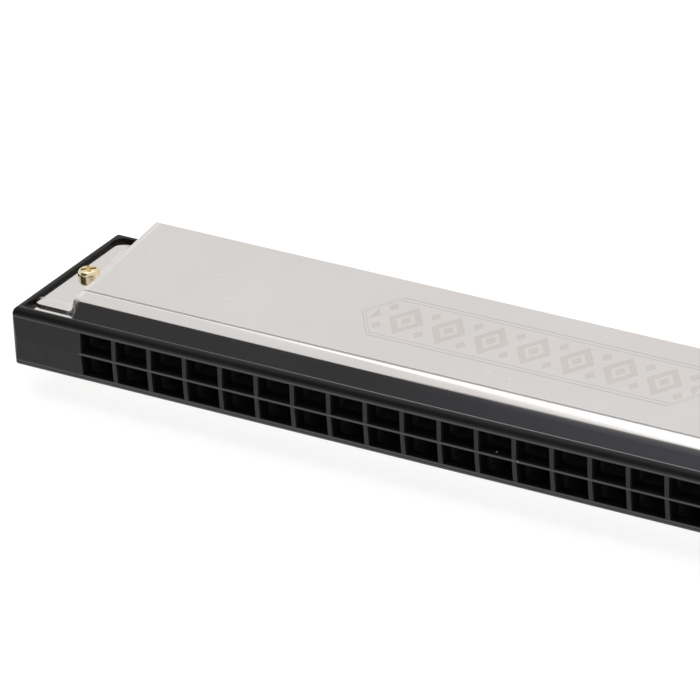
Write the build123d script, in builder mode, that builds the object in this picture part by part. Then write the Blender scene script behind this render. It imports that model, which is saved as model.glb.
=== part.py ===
from build123d import *
import math
import os

# Tremolo harmonica with double holes: a moulded comb, two reed plates with a
# reed over every chamber, and two bent sheet covers held by through-bolts.
# Frame: +X along the length, -Y towards the player, +Z up, origin at the
# centre of the comb. The lower half mirrors the upper half about Z = 0.

# ---- driving dimensions, mm -------------------------------------------------
columns = 22
pitch = 6.5
end_block = 12.75
length = columns * pitch + 2 * end_block
depth = 29.8
rim_top = 5.0
face_draft = 0.25  # the mouth face stands proud by this much at mid height
end_draft = 0.55
corner_front, corner_rear = 1.3, 2.2
lip_round = 1.2
rear_round = 0.5

plate_top = 4.05
plate_thick = 0.7
plate_gap = 0.05
rim_wall_end = 1.45
pocket_front = -13.33
pocket_rear = 13.9
pocket_corner_front, pocket_corner_rear = 0.8, 1.6

hole_width = 5.78
hole_low, hole_high = 0.18, 3.62
flare_depth, flare_angle = 1.6, 10.0
chamber_rear = 10.5

sheet = 0.4
wall_foot = (-12.88, plate_top)
wall_corner = (-10.40, 7.30)
crease = (-8.55, 7.60)
cover_rear = (13.1, 9.98)
bend_r = 3.6
wall_end_x = 74.08
top_fold_x = 74.63
tab_end_x = 82.72
tab_front = -10.6
foot_x_front, foot_x_rear = 75.4, 79.94
top_fold_r, foot_fold_r = 1.0, 0.8
tab_corner_front, tab_corner_rear = 1.5, 3.0
hem_drop = 1.1

screw_x, screw_y = 79.95, 1.0
screw_hole_r = 1.1
shank_r = 1.0
head_r, head_h = 1.75, 1.3
recess_long, recess_wide, recess_deep = 2.4, 0.6, 0.75
nut_flats, nut_h = 3.5, 1.5

reed_thick = 0.2
reed_long, reed_short = 15.5, 8.5
reed_wide, reed_narrow = 2.4, 2.0
reed_side_gap, reed_tip_gap = 0.09, 0.12
root_gap = 0.03
pad_len, pad_width = 2.6, 3.0
draw_hinge_y, blow_hinge_y = -7.5, 7.5
rivet_r, rivet_head_r, rivet_head_h = 0.4, 0.7, 0.32
fit_gap = 0.03

nail_r, nail_head_r, nail_head_h, nail_depth = 0.4, 0.75, 0.25, 2.9
nail_spots = [(s * x, 12.2) for s in (-1, 1) for x in (16.25, 42.25, 68.25)] + [
    (s * 75.0, y) for s in (-1, 1) for y in (-9.0, 11.2)
]

plate_low = plate_top - plate_thick
tilt = math.atan2(cover_rear[1] - crease[1], cover_rear[0] - crease[0])


def top_z(y):
    """Height of the cover's flat top above the comb's mid-plane."""
    return crease[1] + (y - crease[0]) * math.tan(tilt)


def column_x(k):
    return (k - (columns - 1) / 2) * pitch


def reed_size(k):
    """Tongue length and width, graded from the lowest note to the highest."""
    t = k / (columns - 1)
    return (
        reed_long * (reed_short / reed_long) ** t,
        reed_wide + (reed_narrow - reed_wide) * t,
    )


def is_blow(k):
    """Blow reeds sit inside the chamber, draw reeds outside, in turn."""
    return k % 2 == 0


def inset(points, t):
    """The open polyline moved by t to its right-hand side."""
    lines = []
    for (y0, z0), (y1, z1) in zip(points, points[1:]):
        d = math.hypot(y1 - y0, z1 - z0)
        ny, nz = (z1 - z0) / d * t, -(y1 - y0) / d * t
        lines.append(((y0 + ny, z0 + nz), (y1 + ny, z1 + nz)))
    moved = [lines[0][0]]
    for (p, q), (r, s) in zip(lines, lines[1:]):
        a, b = (q[0] - p[0], q[1] - p[1]), (s[0] - r[0], s[1] - r[1])
        k = ((r[0] - p[0]) * b[1] - (r[1] - p[1]) * b[0]) / (a[0] * b[1] - a[1] * b[0])
        moved.append((p[0] + k * a[0], p[1] + k * a[1]))
    return moved + [lines[-1][1]]


def tray(width, y0, y1, r_front, r_rear):
    """Plan outline, centred on X, with its own corner radius front and rear."""
    with BuildSketch(mode=Mode.PRIVATE) as plan:
        with Locations((0, (y0 + y1) / 2)):
            Rectangle(width, y1 - y0)
        corners = plan.vertices().group_by(Axis.Y)
        fillet(corners[0], r_front)
        fillet(plan.vertices().group_by(Axis.Y)[-1], r_rear)
    add(plan.sketch)


os.makedirs("parts", exist_ok=True)

# ---- comb --------------------------------------------------------------------
with BuildPart() as comb:
    half = depth / 2
    with BuildSketch(Plane.YZ) as side:
        Polygon(
            (-half, 0),
            (-half + face_draft, rim_top),
            (half, rim_top),
            (half, -rim_top),
            (-half + face_draft, -rim_top),
            align=None,
        )
        fillet(side.vertices().group_by(Axis.X)[1], lip_round)
        fillet(side.vertices().group_by(Axis.X)[-1], rear_round)
    extrude(amount=length / 2 + 1, both=True)
    with BuildSketch(Plane.XZ) as front:
        Polygon(
            (-length / 2, 0),
            (-length / 2 + end_draft, rim_top),
            (length / 2 - end_draft, rim_top),
            (length / 2, 0),
            (length / 2 - end_draft, -rim_top),
            (-length / 2 + end_draft, -rim_top),
            align=None,
        )
        fillet(
            front.vertices().filter_by_position(Axis.Y, rim_top - 0.01, rim_top + 0.01)
            + front.vertices().filter_by_position(Axis.Y, -rim_top - 0.01, -rim_top + 0.01),
            0.35,
        )
    extrude(amount=depth, both=True, mode=Mode.INTERSECT)
    with BuildSketch(Plane.XY):
        tray(length, -half, half, corner_front, corner_rear)
    extrude(amount=rim_top + 1, both=True, mode=Mode.INTERSECT)
    # seats for the reed plates, inside the rim
    for s in (1, -1):
        with BuildSketch(Plane.XY.offset(s * plate_low)):
            tray(
                length - 2 * rim_wall_end,
                pocket_front,
                pocket_rear,
                pocket_corner_front,
                pocket_corner_rear,
            )
        extrude(amount=s * 5, mode=Mode.SUBTRACT)
    # flared mouth holes, two rows
    hole_mid = (hole_low + hole_high) / 2
    with BuildSketch(Plane.XZ.offset(half)):
        with Locations((0, hole_mid), (0, -hole_mid)):
            with GridLocations(pitch, 1, columns, 1):
                Rectangle(hole_width, hole_high - hole_low)
    extrude(amount=-flare_depth, taper=flare_angle, mode=Mode.SUBTRACT)
    # chambers, open to the reed plates
    shrink = flare_depth * math.tan(math.radians(flare_angle))
    chamber_front = -half + flare_depth - 0.05
    for s in (1, -1):
        with BuildSketch(Plane.XY.offset(s * (hole_low + shrink))):
            with Locations((0, (chamber_front + chamber_rear) / 2)):
                with GridLocations(pitch, 1, columns, 1):
                    Rectangle(hole_width - 2 * shrink, chamber_rear - chamber_front)
        extrude(amount=s * (plate_low - hole_low - shrink), mode=Mode.SUBTRACT)
    # bolt holes through both end blocks
    with BuildSketch(Plane.XY.offset(-rim_top)):
        with Locations((screw_x, screw_y), (-screw_x, screw_y)):
            Circle(screw_hole_r)
    extrude(amount=2 * rim_top, mode=Mode.SUBTRACT)
    # blind nail holes, above and below
    for s in (1, -1):
        with BuildSketch(Plane.XY.offset(s * plate_low)):
            with Locations(*nail_spots):
                Circle(nail_r + fit_gap)
        extrude(amount=-s * (nail_depth + 0.1), mode=Mode.SUBTRACT)
comb.part.label = "comb"
export_step(comb.part, "parts/comb.step")

# ---- reed plates ---------------------------------------------------------------
with BuildPart() as upper_reed_plate:
    with BuildSketch(Plane.XY.offset(plate_low)):
        tray(
            length - 2 * rim_wall_end - 2 * plate_gap,
            pocket_front + plate_gap,
            pocket_rear - plate_gap,
            pocket_corner_front - plate_gap,
            pocket_corner_rear - plate_gap,
        )
        # one slot under each tongue
        for k in range(columns):
            long, wide = reed_size(k)
            if is_blow(k):
                near, far = blow_hinge_y + 0.02, blow_hinge_y - long - reed_tip_gap
            else:
                near, far = draw_hinge_y - 0.02, draw_hinge_y + long + reed_tip_gap
            with Locations((column_x(k), (near + far) / 2)):
                Rectangle(
                    wide + 2 * reed_side_gap, abs(far - near), mode=Mode.SUBTRACT
                )
            y = (
                blow_hinge_y + 0.1 + root_gap + pad_len / 2
                if is_blow(k)
                else draw_hinge_y - 0.1 - root_gap - pad_len / 2
            )
            with Locations((column_x(k), y)):
                Circle(rivet_r + fit_gap, mode=Mode.SUBTRACT)
        with Locations(*nail_spots):
            Circle(nail_r + fit_gap, mode=Mode.SUBTRACT)
        with Locations((screw_x, screw_y), (-screw_x, screw_y)):
            Circle(screw_hole_r, mode=Mode.SUBTRACT)
    extrude(amount=plate_thick)
upper_reed_plate.part.label = "upper_reed_plate"
export_step(upper_reed_plate.part, "parts/upper_reed_plate.step")

with BuildPart() as lower_reed_plate:
    mirror(upper_reed_plate.part, about=Plane.XY)
lower_reed_plate.part.label = "lower_reed_plate"
export_step(lower_reed_plate.part, "parts/lower_reed_plate.step")

# ---- riveted ends of the reeds, and their rivets --------------------------------
with BuildPart() as upper_reed_pads:
    for k in range(columns):
        y = (
            blow_hinge_y + 0.1 + root_gap + pad_len / 2
            if is_blow(k)
            else draw_hinge_y - 0.1 - root_gap - pad_len / 2
        )
        z = plate_low - reed_thick if is_blow(k) else plate_top
        with BuildSketch(Plane.XY.offset(z)) as outline:
            with Locations((column_x(k), y)):
                Rectangle(pad_width, pad_len)
            # the outer end of the pad is rounded
            ends = outline.vertices().group_by(Axis.Y)[-1 if is_blow(k) else 0]
            fillet(ends, 0.7)
            with Locations((column_x(k), y)):
                Circle(rivet_r + fit_gap, mode=Mode.SUBTRACT)
        extrude(amount=reed_thick)
upper_reed_pads.part.label = "upper_reed_pads"
export_step(upper_reed_pads.part, "parts/upper_reed_pads.step")

with BuildPart() as lower_reed_pads:
    mirror(upper_reed_pads.part, about=Plane.XY)
lower_reed_pads.part.label = "lower_reed_pads"
export_step(lower_reed_pads.part, "parts/lower_reed_pads.step")

with BuildPart() as upper_reed_rivets:
    for k in range(columns):
        if is_blow(k):
            # head inside the chamber, tail flush with the plate's outer face
            y, z, s, grip = (
                blow_hinge_y + 0.1 + root_gap + pad_len / 2,
                plate_low - reed_thick,
                -1,
                plate_thick + reed_thick,
            )
        else:
            y, z, s, grip = (
                draw_hinge_y - 0.1 - root_gap - pad_len / 2,
                plate_top + reed_thick,
                1,
                plate_thick + reed_thick,
            )
        with BuildSketch(Plane(origin=(column_x(k), y, z), x_dir=(1, 0, 0), z_dir=(0, -1, 0))) as half_rivet:
            with BuildLine():
                Polyline(
                    (0, -s * grip),
                    (rivet_r, -s * grip),
                    (rivet_r, 0),
                    (rivet_head_r, 0),
                    (rivet_head_r, s * rivet_head_h * 0.45),
                    (rivet_head_r * 0.6, s * rivet_head_h),
                    (0, s * rivet_head_h),
                    close=True,
                )
            make_face()
        revolve(axis=Axis((column_x(k), y, z), (0, 0, 1)), revolution_arc=360)
upper_reed_rivets.part.label = "upper_reed_rivets"
export_step(upper_reed_rivets.part, "parts/upper_reed_rivets.step")

with BuildPart() as lower_reed_rivets:
    mirror(upper_reed_rivets.part, about=Plane.XY)
lower_reed_rivets.part.label = "lower_reed_rivets"
export_step(lower_reed_rivets.part, "parts/lower_reed_rivets.step")

# ---- reed tongues: each swings about its half-round root --------------------------
for k in range(columns):
    long, wide = reed_size(k)
    root_y = blow_hinge_y if is_blow(k) else draw_hinge_y
    way = -1 if is_blow(k) else 1
    mid_z = plate_low - reed_thick / 2 if is_blow(k) else plate_top + reed_thick / 2
    r = reed_thick / 2
    with BuildPart() as upper_reed:
        with BuildSketch(
            Plane(origin=(column_x(k) - wide / 2, root_y, mid_z), x_dir=(0, way, 0), z_dir=(way, 0, 0))
        ):
            with BuildLine():
                Line((0, -r), (long, -r))
                Line((long, -r), (long, r))
                Line((long, r), (0, r))
                ThreePointArc((0, r), (-r, 0), (0, -r))
            make_face()
        extrude(amount=way * wide)
    upper_reed.part.label = f"upper_reed_{k + 1:02d}"
    export_step(upper_reed.part, f"parts/upper_reed_{k + 1:02d}.step")

    with BuildPart() as lower_reed:
        mirror(upper_reed.part, about=Plane.XY)
    lower_reed.part.label = f"lower_reed_{k + 1:02d}"
    export_step(lower_reed.part, f"parts/lower_reed_{k + 1:02d}.step")

# ---- plate nails -------------------------------------------------------------------
with BuildPart() as upper_plate_nails:
    with BuildSketch(Plane.XY.offset(plate_top)):
        with Locations(*nail_spots):
            Circle(nail_head_r)
    extrude(amount=nail_head_h)
    chamfer(upper_plate_nails.edges().group_by(Axis.Z)[-1], 0.12)
    with BuildSketch(Plane.XY.offset(plate_top)):
        with Locations(*nail_spots):
            Circle(nail_r)
    extrude(amount=-(plate_thick + nail_depth))
upper_plate_nails.part.label = "upper_plate_nails"
export_step(upper_plate_nails.part, "parts/upper_plate_nails.step")

with BuildPart() as lower_plate_nails:
    mirror(upper_plate_nails.part, about=Plane.XY)
lower_plate_nails.part.label = "lower_plate_nails"
export_step(lower_plate_nails.part, "parts/lower_plate_nails.step")

# ---- covers --------------------------------------------------------------------------
def fold_section(y, foot_x):
    """Outline of the sheet across the length at one depth: tab, ramp, flat, ramp, tab."""
    z0, z1 = plate_top + sheet, top_z(y)
    lean = math.atan2(z1 - z0, foot_x - top_fold_x)
    step = sheet * math.tan(lean / 2)
    upper = [(-tab_end_x, z0), (-foot_x, z0), (-top_fold_x, z1)]
    lower = [
        (-tab_end_x, z0 - sheet),
        (-foot_x + step, z0 - sheet),
        (-top_fold_x + step, z1 - sheet),
    ]
    ring = (
        upper
        + [(-x, z) for x, z in reversed(upper)]
        + [(-x, z) for x, z in lower]
        + list(reversed(lower))
    )
    rounds = [
        (upper[1], foot_fold_r),
        (upper[2], top_fold_r),
        (lower[1], foot_fold_r + sheet),
        (lower[2], top_fold_r - sheet),
    ]
    return ring, rounds + [((-x, z), r) for (x, z), r in rounds]


with BuildPart() as upper_cover:
    # tabs, ramps and flat top in one sheet, ruled from front to rear
    for y, foot_x in ((tab_front, foot_x_front), (cover_rear[0], foot_x_rear)):
        with BuildSketch(
            Plane(origin=(0, y, 0), x_dir=(1, 0, 0), z_dir=(0, -1, 0))
        ) as section:
            ring, rounds = fold_section(y, foot_x)
            Polygon(*ring, align=None)
            for (px, pz), r in rounds:
                fillet(section.vertices().sort_by_distance((px, pz, 0))[0], r)
    loft(ruled=True)
    # take the sheet down to the facet and the bend in front of the crease
    with BuildSketch(Plane.YZ.offset(-90)) as outside:
        Polygon(
            (-16.0, plate_top),
            wall_foot,
            wall_corner,
            crease,
            (crease[0], 12),
            (-16.0, 12),
            align=None,
        )
        fillet(outside.vertices().sort_by_distance((*wall_corner, 0))[0], bend_r)
    extrude(amount=180, mode=Mode.SUBTRACT)
    # front wall, bend and facet
    outer = [wall_foot, wall_corner, crease, (-6.0, top_z(-6.0))]
    under = inset(outer, sheet)
    # carry the inner line down to the plate, so that the foot is cut flat
    lean = (under[1][0] - under[0][0]) / (under[1][1] - under[0][1])
    under[0] = (under[0][0] - (under[0][1] - plate_top) * lean, plate_top)
    with BuildSketch(Plane.YZ.offset(-wall_end_x)) as wall:
        Polygon(*outer, *reversed(under), align=None)
        fillet(wall.vertices().sort_by_distance((*wall_corner, 0))[0], bend_r)
        fillet(wall.vertices().sort_by_distance((*under[1], 0))[0], bend_r - sheet)
    extrude(amount=2 * wall_end_x)
    # rear hem
    rear_y, rear_z = cover_rear
    with BuildSketch(Plane.YZ.offset(-top_fold_x + 0.6)) as hem:
        Polygon(
            (rear_y - 2.0, top_z(rear_y - 2.0)),
            (rear_y, rear_z),
            (rear_y, rear_z - hem_drop),
            (rear_y - sheet, rear_z - hem_drop),
            (rear_y - sheet, top_z(rear_y - sheet) - sheet),
            (rear_y - 2.0, top_z(rear_y - 2.0) - sheet),
            align=None,
        )
        fillet(hem.vertices().sort_by_distance((rear_y - sheet, rear_z - sheet, 0))[0], 0.3)
    extrude(amount=2 * (top_fold_x - 0.6))
    # round the rear edge of the flat top
    with BuildSketch(Plane.YZ.offset(-90)):
        with BuildLine():
            r = 0.6
            back = (rear_y - r * math.cos(tilt) * 1.1, top_z(rear_y - r * math.cos(tilt) * 1.1))
            down = (rear_y, rear_z - r * 1.05)
            mid = (
                (back[0] + down[0]) / 2 + 0.42 * (rear_y - (back[0] + down[0]) / 2),
                (back[1] + down[1]) / 2 + 0.42 * (rear_z - (back[1] + down[1]) / 2),
            )
            ThreePointArc(back, mid, down)
            Polyline(down, (rear_y + 1, down[1]), (rear_y + 1, rear_z + 1), (back[0], rear_z + 1), back)
        make_face()
    extrude(amount=180, mode=Mode.SUBTRACT)
    # shallow groove along the crease
    with BuildSketch(Plane.YZ.offset(-90)):
        Polygon(
            (crease[0] - 0.26, crease[1] + 0.05),
            (crease[0] + 0.26, crease[1] + 0.05),
            (crease[0] + 0.02, crease[1] - 0.16),
            (crease[0] - 0.02, crease[1] - 0.16),
            align=None,
        )
    extrude(amount=180, mode=Mode.SUBTRACT)
    # rounded corners of the end tabs
    with BuildSketch(Plane.XY) as plan:
        Polygon(
            (-tab_end_x, tab_front),
            (-wall_end_x, tab_front),
            (-wall_end_x, -14),
            (wall_end_x, -14),
            (wall_end_x, tab_front),
            (tab_end_x, tab_front),
            (tab_end_x, rear_y),
            (-tab_end_x, rear_y),
            align=None,
        )
        for x in (-tab_end_x, tab_end_x):
            fillet(plan.vertices().sort_by_distance((x, tab_front, 0))[0], tab_corner_front)
            fillet(plan.vertices().sort_by_distance((x, rear_y, 0))[0], tab_corner_rear)
    extrude(amount=12, mode=Mode.INTERSECT)
    with BuildSketch(Plane.XY.offset(plate_top - 1)):
        with Locations((screw_x, screw_y), (-screw_x, screw_y)):
            Circle(screw_hole_r)
    extrude(amount=3, mode=Mode.SUBTRACT)
upper_cover.part.label = "upper_cover"
export_step(upper_cover.part, "parts/upper_cover.step")

with BuildPart() as lower_cover:
    mirror(upper_cover.part, about=Plane.XY)
lower_cover.part.label = "lower_cover"
export_step(lower_cover.part, "parts/lower_cover.step")

# ---- through-bolts and nuts -------------------------------------------------------------
tab_top = plate_top + sheet
with BuildPart() as cover_bolts:
    with BuildSketch(Plane.XY.offset(tab_top)):
        with Locations((screw_x, screw_y), (-screw_x, screw_y)):
            Circle(head_r)
    extrude(amount=head_h)
    fillet(cover_bolts.edges().group_by(Axis.Z)[-1], 0.75)
    with BuildSketch(Plane.XY.offset(tab_top)):
        with Locations((screw_x, screw_y), (-screw_x, screw_y)):
            Circle(shank_r)
    extrude(amount=-(2 * tab_top + nut_h + 0.45))
    chamfer(cover_bolts.edges().group_by(Axis.Z)[0], 0.2)
    # cross recess
    with BuildSketch(Plane.XY.offset(tab_top + head_h)):
        with Locations((screw_x, screw_y), (-screw_x, screw_y)):
            Rectangle(recess_long, recess_wide, rotation=40)
            Rectangle(recess_long, recess_wide, rotation=130)
    extrude(amount=-recess_deep, mode=Mode.SUBTRACT)
cover_bolts.part.label = "cover_bolts"
export_step(cover_bolts.part, "parts/cover_bolts.step")

with BuildPart() as cover_nuts:
    with BuildSketch(Plane.XY.offset(-tab_top)):
        with Locations((screw_x, screw_y), (-screw_x, screw_y)):
            RegularPolygon(nut_flats / math.sqrt(3), 6, major_radius=True, rotation=30)
            Circle(shank_r + fit_gap, mode=Mode.SUBTRACT)
    extrude(amount=-nut_h)
    chamfer(
        cover_nuts.edges().filter_by(GeomType.LINE).filter_by(Plane.XY), 0.18
    )
cover_nuts.part.label = "cover_nuts"
export_step(cover_nuts.part, "parts/cover_nuts.step")
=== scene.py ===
import math

import bmesh
import bpy
from mathutils import Matrix, Vector


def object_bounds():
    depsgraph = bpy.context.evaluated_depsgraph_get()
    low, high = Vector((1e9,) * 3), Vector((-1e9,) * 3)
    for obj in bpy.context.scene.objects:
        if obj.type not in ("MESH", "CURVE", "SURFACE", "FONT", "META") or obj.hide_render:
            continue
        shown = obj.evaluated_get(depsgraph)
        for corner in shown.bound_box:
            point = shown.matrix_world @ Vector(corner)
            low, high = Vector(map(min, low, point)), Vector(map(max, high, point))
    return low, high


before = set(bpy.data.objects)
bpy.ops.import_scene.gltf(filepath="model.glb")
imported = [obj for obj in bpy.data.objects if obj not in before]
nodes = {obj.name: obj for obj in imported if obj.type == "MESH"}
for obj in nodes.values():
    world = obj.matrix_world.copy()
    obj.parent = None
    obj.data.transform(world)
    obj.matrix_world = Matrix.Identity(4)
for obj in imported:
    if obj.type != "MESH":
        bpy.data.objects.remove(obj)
cad_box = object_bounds()
scene = bpy.context.scene


# ---------------------------------------------------------------- node helpers
class Tree:
    """A material or world node tree with short calls for the nodes used here."""

    def __init__(self, owner):
        owner.use_nodes = True
        self.t = owner.node_tree
        self.t.nodes.clear()

    def node(self, kind, **props):
        n = self.t.nodes.new(kind)
        for k, v in props.items():
            setattr(n, k, v)
        return n

    def link(self, a, b):
        self.t.links.new(a, b)

    def put(self, socket, value):
        if isinstance(value, bpy.types.NodeSocket):
            self.link(value, socket)
        else:
            socket.default_value = value

    def math(self, op, a, b=0.0, c=0.0, clamp=False):
        n = self.node("ShaderNodeMath", operation=op, use_clamp=clamp)
        self.put(n.inputs[0], a)
        self.put(n.inputs[1], b)
        self.put(n.inputs[2], c)
        return n.outputs[0]

    def step(self, x, lo, hi, a=0.0, b=1.0):
        n = self.node("ShaderNodeMapRange", interpolation_type="SMOOTHSTEP")
        self.put(n.inputs["Value"], x)
        for name, v in (("From Min", lo), ("From Max", hi), ("To Min", a), ("To Max", b)):
            self.put(n.inputs[name], v)
        return n.outputs["Result"]

    def mix(self, f, a, b, kind="RGBA", blend="MIX"):
        n = self.node("ShaderNodeMix", data_type=kind, blend_type=blend)
        socks = [s for s in n.inputs if s.enabled]
        self.put(socks[0], f)
        self.put(socks[1], a)
        self.put(socks[2], b)
        return next(s for s in n.outputs if s.enabled)

    def mapped(self, scale=(1, 1, 1), rot=(0, 0, 0)):
        c = self.node("ShaderNodeTexCoord").outputs["Object"]
        m = self.node("ShaderNodeMapping")
        m.inputs["Scale"].default_value = scale
        m.inputs["Rotation"].default_value = rot
        self.link(c, m.inputs["Vector"])
        return m.outputs["Vector"]

    def noise(self, vector, scale, detail=3.0, rough=0.5):
        n = self.node("ShaderNodeTexNoise")
        self.link(vector, n.inputs["Vector"])
        n.inputs["Scale"].default_value = scale
        n.inputs["Detail"].default_value = detail
        n.inputs["Roughness"].default_value = rough
        return n.outputs["Fac"]

    def bump(self, height, strength, distance, normal=None):
        b = self.node("ShaderNodeBump")
        b.inputs["Strength"].default_value = strength
        b.inputs["Distance"].default_value = distance
        self.link(height, b.inputs["Height"])
        if normal is not None:
            self.link(normal, b.inputs["Normal"])
        return b.outputs["Normal"]

    def principled(self, **values):
        p = self.node("ShaderNodeBsdfPrincipled")
        for k, v in values.items():
            self.put(p.inputs[k.replace("_", " ")], v)
        o = self.node("ShaderNodeOutputMaterial")
        self.link(p.outputs[0], o.inputs["Surface"])
        return p


def material(name):
    m = bpy.data.materials.new(name)
    return m, Tree(m)


def rgb(r, g, b):
    return (r, g, b, 1.0)


# ------------------------------------------------------------------- materials
def local(t):
    """Object coordinates, split; metres in the row frame."""
    c = t.node("ShaderNodeSeparateXYZ")
    t.link(t.node("ShaderNodeTexCoord").outputs["Object"], c.inputs[0])
    return c.outputs


def band(t, x, lo, hi, soft):
    """1 between lo and hi, with soft edges."""
    return t.math(
        "MULTIPLY", t.step(x, lo - soft, lo), t.step(x, hi + soft, hi), clamp=True
    )


def specks(t, cell, radius, field, seed=0.0):
    """Rare dust grains."""
    v = t.mapped((1, 1, 1), (0.3 + seed, 0.7, seed))
    w = t.node("ShaderNodeTexVoronoi")
    w.inputs["Scale"].default_value = cell
    t.link(v, w.inputs["Vector"])
    near = t.step(w.outputs["Distance"], radius, radius * 0.5)
    return t.math("MULTIPLY", near, t.step(t.noise(v, field, 1), 0.60, 0.64))


def comb_plastic():
    m, t = material("comb_black_abs")
    x, y, z = local(t)
    ax, az = t.math("ABSOLUTE", x), t.math("ABSOLUTE", z)
    v = t.mapped()
    cloud = t.noise(v, 90, 4, 0.6)
    fine = t.noise(v, 2600, 2, 0.5)
    flow = t.noise(t.mapped((30, 900, 900)), 1.0, 3, 0.55)
    worn = t.noise(v, 420, 5, 0.7)
    base = t.mix(cloud, rgb(0.0085, 0.0082, 0.0085), rgb(0.0130, 0.0126, 0.0128))
    # inside the channels the moulding is matt, and painted shade darkens the channel walls, darkest
    # just behind the mouth face
    inside = t.math(
        "MULTIPLY", t.step(y, -0.01475, -0.0142), t.step(az, 0.00372, 0.00366)
    )
    deep = t.step(y, -0.0130, -0.0122)
    # painted shade: near-black just behind the mouth, a little lighter deeper in
    channel_shade = t.mix(deep, rgb(0.0044, 0.0042, 0.0042), rgb(0.032, 0.031, 0.031))
    base = t.mix(inside, base, channel_shade)
    # the played stretch is a little duller than the end blocks
    played = t.step(ax, 0.0735, 0.066)
    gloss = t.step(az, 0.0040, 0.0047, 0.235, 0.115)
    gloss = t.math("ADD", gloss, t.math("MULTIPLY", played, 0.05))
    gloss = t.math("ADD", gloss, t.math("MULTIPLY", t.math("SUBTRACT", worn, 0.5), 0.10))
    front = t.step(y, -0.0145, -0.0147)
    ridge = t.math("MULTIPLY", front, t.step(az, 0.00020, 0.00012))
    ridge = t.math("MULTIPLY", ridge, t.step(ax, 0.0717, 0.0713))
    shoulder = t.math("MULTIPLY", front, band(t, az, 0.00370, 0.00388, 0.00008))
    gloss = t.math("ADD", gloss, t.math("MULTIPLY", ridge, 0.42))
    gloss = t.math("ADD", gloss, t.math("MULTIPLY", shoulder, 0.45))
    lip = t.math(
        "MULTIPLY", band(t, y, -0.01352, -0.01330, 0.00004), t.step(az, 0.0047, 0.0048)
    )
    gloss = t.math("ADD", gloss, t.math("MULTIPLY", lip, t.step(x, -0.050, 0.0, 0.35, 0.90)))
    gloss = t.math("MULTIPLY", gloss, t.math("SUBTRACT", 1.0, t.math("MULTIPLY", inside, 0.9)))
    # painted highlight: the inner lip is painted light grey, stronger towards +x, and nicked here and
    # there
    lip_highlight = t.math("MULTIPLY", lip, t.step(x, -0.060, 0.005, 0.25, 1.0))
    # painted highlight colour on the inner lip
    base = t.mix(lip_highlight, base, rgb(0.125, 0.125, 0.130))
    nick = t.step(t.noise(t.mapped((1300, 3000, 900)), 1.0, 2, 0.5), 0.66, 0.72)
    nick = t.math("MULTIPLY", nick, t.step(t.noise(v, 60, 2), 0.50, 0.58))
    nick = t.math("MULTIPLY", nick, t.math("MULTIPLY", lip_highlight, t.step(x, -0.02, 0.01)))
    base = t.mix(nick, base, rgb(0.30, 0.29, 0.27))
    dust = specks(t, 230, 0.05, 33)
    base = t.mix(dust, base, rgb(0.34, 0.33, 0.32))
    rough = t.step(cloud, 0.3, 0.7, 0.20, 0.30)
    rough = t.math("ADD", rough, t.math("MULTIPLY", flow, 0.06))
    rough = t.math("ADD", rough, t.math("MULTIPLY", inside, 0.25))
    rough = t.math("ADD", rough, t.math("MULTIPLY", dust, 0.4), clamp=True)
    n = t.bump(fine, 0.25, 0.000012)
    n = t.bump(flow, 0.20, 0.00003, n)
    t.principled(
        Base_Color=base, Roughness=rough, IOR=1.5, Specular_IOR_Level=gloss, Normal=n
    )
    return m


def ornament(t, x, y, z):
    """Etched device on the upper cover: a pointed frame round a row of lozenges."""
    h, half, tip, pitch = 0.0056, 0.0262, 0.0042, 0.0075
    yy = t.math("ABSOLUTE", t.math("SUBTRACT", y, 0.0026))
    ax = t.math("ABSOLUTE", x)
    beyond = t.math("MAXIMUM", t.math("DIVIDE", t.math("SUBTRACT", ax, half), tip), 0.0)
    v = t.math("ADD", t.math("DIVIDE", yy, h), beyond)
    frame_line = t.math("ADD", band(t, v, 0.975, 1.0, 0.012), band(t, v, 0.85, 0.865, 0.012))
    cell = t.math("SUBTRACT", t.math("FRACT", t.math("ADD", t.math("DIVIDE", x, pitch), 0.5)), 0.5)
    fx = t.math("MULTIPLY", t.math("ABSOLUTE", cell), 2.0)
    d = t.math("ADD", t.math("DIVIDE", fx, 0.80), t.math("DIVIDE", yy, 0.70 * h))
    ring = band(t, d, 0.58, 1.0, 0.02)
    core = t.step(d, 0.32, 0.28)
    off = t.math("ABSOLUTE", t.math("SUBTRACT", yy, 0.48 * h))
    dot = t.math(
        "ADD",
        t.math("DIVIDE", t.math("SUBTRACT", 1.0, fx), 0.24),
        t.math("DIVIDE", off, 0.19 * h),
    )
    dot = t.step(dot, 1.04, 0.98)
    fill = t.math("MAXIMUM", t.math("MAXIMUM", ring, core), dot)
    fill = t.math("MULTIPLY", fill, t.step(v, 0.78, 0.76))
    fill = t.math("MULTIPLY", fill, t.step(ax, 0.0285, 0.0280))
    up = t.step(z, 0.007, 0.0075)
    return t.math("MULTIPLY", fill, up), t.math("MULTIPLY", frame_line, up, clamp=True)


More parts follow.
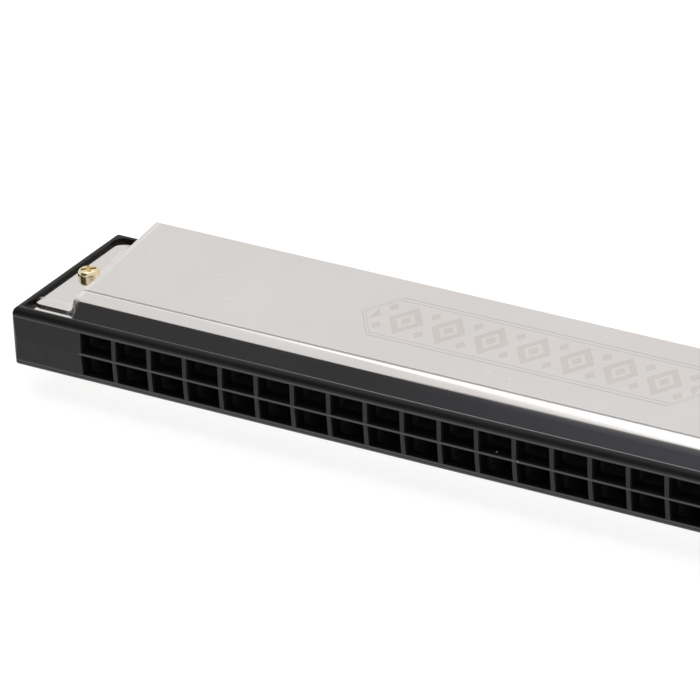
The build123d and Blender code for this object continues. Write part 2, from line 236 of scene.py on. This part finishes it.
def cover_steel():
    m, t = material("cover_bright_steel")
    x, y, z = local(t)
    v = t.mapped()
    grain = t.noise(t.mapped((60, 5200, 5200)), 1.0, 4, 0.65)
    smear = t.noise(v, 55, 4, 0.6)
    wave = t.noise(t.mapped((9, 28, 28)), 1.0, 1, 0.4)
    base = t.mix(smear, rgb(0.815, 0.79, 0.775), rgb(0.85, 0.83, 0.815))
    # a few short hairline scratches
    streak = t.noise(t.mapped((55, 3400, 3400), (0.0, 0.0, 0.03)), 1.0, 1, 0.4)
    hair = t.math("MULTIPLY", t.step(streak, 0.745, 0.79), t.step(t.noise(v, 48, 2), 0.56, 0.62))
    dust = specks(t, 300, 0.050, 41, 0.4)
    # pressed lines scatter more than the flats: the crease and the end folds
    ax = t.math("ABSOLUTE", x)
    az = t.math("ABSOLUTE", z)
    pressed = band(t, y, -0.00884, -0.00826, 0.00006)
    fold = t.math("MULTIPLY", band(t, ax, 0.0738, 0.0762, 0.0003), t.step(az, 0.0048, 0.0054))
    foot = t.math("SUBTRACT", ax, t.math("ADD", t.math("MULTIPLY", y, 0.1916), 0.07743))
    foot = t.math("MULTIPLY", band(t, foot, -0.0010, 0.0009, 0.0004), t.step(az, 0.0062, 0.0056))
    fill, line = ornament(t, x, y, z)
    frost = t.noise(v, 5200, 3, 0.6)
    tone = t.mix(frost, rgb(0.715, 0.670, 0.650), rgb(0.755, 0.710, 0.690))
    base = t.mix(fill, base, tone)
    base = t.mix(t.math("MULTIPLY", line, 0.8), base, rgb(0.62, 0.59, 0.57))
    base = t.mix(dust, base, rgb(0.95, 0.94, 0.92))
    rough = t.step(smear, 0.25, 0.75, 0.05, 0.09)
    rough = t.math("ADD", rough, t.math("MULTIPLY", grain, 0.03))
    rough = t.math("ADD", rough, t.math("MULTIPLY", hair, 0.22))
    rough = t.math("ADD", rough, t.math("MULTIPLY", fill, 0.04))
    rough = t.math("ADD", rough, t.math("MULTIPLY", pressed, 0.30))
    rough = t.math("ADD", rough, t.math("MULTIPLY", fold, 0.16))
    rough = t.math("ADD", rough, t.math("MULTIPLY", foot, 0.30))
    rough = t.math("ADD", rough, t.math("MULTIPLY", dust, 0.5), clamp=True)
    n = t.bump(grain, 0.05, 0.000006)
    n = t.bump(wave, 0.05, 0.0002, n)
    metal = t.math("SUBTRACT", 1.0, dust, clamp=True)
    t.principled(Base_Color=base, Metallic=metal, Roughness=rough, Normal=n)
    return m


def plate_metal():
    m, t = material("reed_plate_satin")
    v = t.mapped()
    grain = t.noise(t.mapped((120, 4200, 4200)), 1.0, 4, 0.6)
    cloud = t.noise(v, 60, 4, 0.55)
    base = t.mix(cloud, rgb(0.84, 0.82, 0.79), rgb(0.92, 0.91, 0.88))
    rough = t.math("ADD", t.step(cloud, 0.3, 0.7, 0.06, 0.11), t.math("MULTIPLY", grain, 0.05))
    n = t.bump(grain, 0.10, 0.000008)
    t.principled(Base_Color=base, Metallic=1.0, Roughness=rough, Normal=n)
    return m


def brass(name, lo, hi, r0, r1, along=None):
    m, t = material(name)
    v = t.mapped()
    cloud = t.noise(v, 420, 4, 0.6)
    grain = t.noise(t.mapped(along or (5200, 5200, 5200)), 1.0, 3, 0.6)
    base = t.mix(cloud, rgb(*lo), rgb(*hi))
    rough = t.math("ADD", t.step(cloud, 0.3, 0.7, r0, r1), t.math("MULTIPLY", grain, 0.06))
    n = t.bump(grain, 0.15, 0.000008)
    t.principled(Base_Color=base, Metallic=1.0, Roughness=rough, Normal=n)
    return m


def pin_steel():
    m, t = material("pin_steel")
    cloud = t.noise(t.mapped(), 600, 4, 0.6)
    base = t.mix(cloud, rgb(0.52, 0.52, 0.53), rgb(0.68, 0.68, 0.69))
    rough = t.step(cloud, 0.3, 0.7, 0.25, 0.42)
    n = t.bump(cloud, 0.2, 0.00001)
    t.principled(Base_Color=base, Metallic=1.0, Roughness=rough, Normal=n)
    return m


black = comb_plastic()
steel = cover_steel()
plate = plate_metal()
screw = brass("screw_brass", (0.84, 0.70, 0.42), (0.95, 0.86, 0.60), 0.10, 0.22)
reed = brass("reed_brass", (0.70, 0.52, 0.24), (0.82, 0.66, 0.36), 0.24, 0.38, (900, 9000, 9000))
rivet = brass("rivet_brass", (0.66, 0.48, 0.22), (0.80, 0.62, 0.32), 0.18, 0.30)
pin = pin_steel()

by_node = {
    "comb": black,
    "upper_cover": steel,
    "lower_cover": steel,
    "upper_reed_plate": plate,
    "lower_reed_plate": plate,
    "cover_bolts": screw,
    "cover_nuts": screw,
    "upper_reed_rivets": rivet,
    "lower_reed_rivets": rivet,
    "upper_plate_nails": pin,
    "lower_plate_nails": pin,
}
for name, ob in nodes.items():
    ob.data.materials.clear()
    ob.data.materials.append(by_node.get(name, reed))

# ----------------------------------------------------------------------- stage
low = Vector(cad_box[0])
high = Vector(cad_box[1])


def plane(name, size, z):
    mesh = bpy.data.meshes.new(name)
    s = size / 2
    mesh.from_pydata([(-s, -s, z), (s, -s, z), (s, s, z), (-s, s, z)], [], [(0, 1, 2, 3)])
    ob = bpy.data.objects.new(name, mesh)
    scene.collection.objects.link(ob)
    return ob


floor = plane("studio_floor", 12.0, low.z - 0.0001)
fm, ft = material("studio_floor")
paper = ft.noise(ft.mapped(), 40, 3, 0.5)
fc = ft.mix(paper, rgb(0.34, 0.34, 0.34), rgb(0.37, 0.37, 0.37))
fp = ft.principled(Base_Color=fc, Roughness=0.9, Emission_Color=rgb(1, 1, 1), Emission_Strength=0.74)
floor.data.materials.append(fm)

# The studio: white walls, a dark card in front and above, a soft box overhead.
world = bpy.data.worlds.new("studio")
scene.world = world
w = Tree(world)
sep = w.node("ShaderNodeSeparateXYZ")
w.link(w.node("ShaderNodeTexCoord").outputs["Generated"], sep.inputs[0])
dx, dy, dz = sep.outputs
angle = w.math("MULTIPLY", w.math("ARCTAN2", dz, dy), 180 / math.pi)
wall = w.mix(w.step(dz, 0.0, 0.9), rgb(0.80, 0.785, 0.775), rgb(0.80, 0.785, 0.775))
near = w.step(dx, -0.482, -0.450)  # towards the right-hand end of the view
# dark card in front and above
start = w.math("SUBTRACT", 110.0, w.math("MULTIPLY", w.step(dx, -0.482, -0.462), 9.0))
fade = w.math("ADD", 3.0, w.math("MULTIPLY", near, 7.0))
into = w.math("DIVIDE", w.math("SUBTRACT", angle, start), fade)
card = w.math("MULTIPLY", w.step(into, 0.0, 1.0), w.step(angle, 174.0, 168.0))
card = w.math("MULTIPLY", card, w.step(dx, -0.86, -0.78))
card = w.math("MULTIPLY", card, w.step(dx, 0.10, 0.0))
card_col = w.mix(near, rgb(0.0435, 0.0430, 0.0450), rgb(0.065, 0.0640, 0.0790))
rise = w.math("MULTIPLY", w.step(into, 4.0, 1.0), w.math("MULTIPLY", near, 0.6))
card_col = w.mix(rise, card_col, rgb(0.17, 0.17, 0.17))
# soft box, its near edge runs slantwise
edge = w.math("ADD", w.math("MULTIPLY", dx, 796.0), 450.9)
soft = w.math("MULTIPLY", w.step(angle, 46.0, 48.0), w.step(w.math("SUBTRACT", edge, angle), -1.5, 1.5))
soft = w.math("MULTIPLY", soft, w.step(dx, 0.1, 0.0))
col = w.mix(soft, wall, rgb(1.38, 1.38, 1.38))
rimline = w.math("MULTIPLY", w.step(w.math("SUBTRACT", angle, edge), 0.5, 2.0), w.step(w.math("SUBTRACT", angle, edge), 5.0, 3.5))
rimline = w.math("MULTIPLY", rimline, w.step(angle, 50.0, 54.0))
col = w.mix(w.math("MULTIPLY", rimline, 0.6), col, rgb(0.30, 0.30, 0.30))
col = w.mix(card, col, card_col)
bg = w.node("ShaderNodeBackground")
w.link(col, bg.inputs["Color"])
bg.inputs["Strength"].default_value = 1.0
wo = w.node("ShaderNodeOutputWorld")
w.link(bg.outputs[0], wo.inputs["Surface"])

# one large soft lamp overhead, so that the shadow has a direction
lamp = bpy.data.lights.new("overhead", "AREA")
lamp.shape, lamp.size, lamp.size_y, lamp.energy = "RECTANGLE", 1.6, 1.2, 9.0
lamp_ob = bpy.data.objects.new("overhead", lamp)
scene.collection.objects.link(lamp_ob)
lamp_ob.location = (0.35, -0.25, 1.5)
lamp_ob.rotation_euler = (Vector((0, 0, 0)) - lamp_ob.location).to_track_quat("-Z", "Y").to_euler()
lamp_ob.visible_glossy = False

# ---------------------------------------------------------------------- camera
s = 6.5 / 6.43
eye = Vector((516.32 * s - 71.5, -710.45 * s - 14.9, 444.77 * s)) / 1000
right = Vector((0.8480, 0.5278, -0.0484)).normalized()
forward = Vector((-0.4894, 0.7448, -0.4537)).normalized()
up = right.cross(forward).normalized()
right = forward.cross(up).normalized()
cam = bpy.data.cameras.new("camera")
cam.sensor_width = 36.0
cam.lens = 6444.57 / 700 * 36
cam.clip_start, cam.clip_end = 0.01, 50.0
cam_ob = bpy.data.objects.new("camera", cam)
scene.collection.objects.link(cam_ob)
m = Matrix((right, up, -forward)).transposed().to_4x4()
m.translation = eye
cam_ob.matrix_world = m
scene.camera = cam_ob

scene.view_settings.view_transform = "Standard"
scene.view_settings.look = "None"
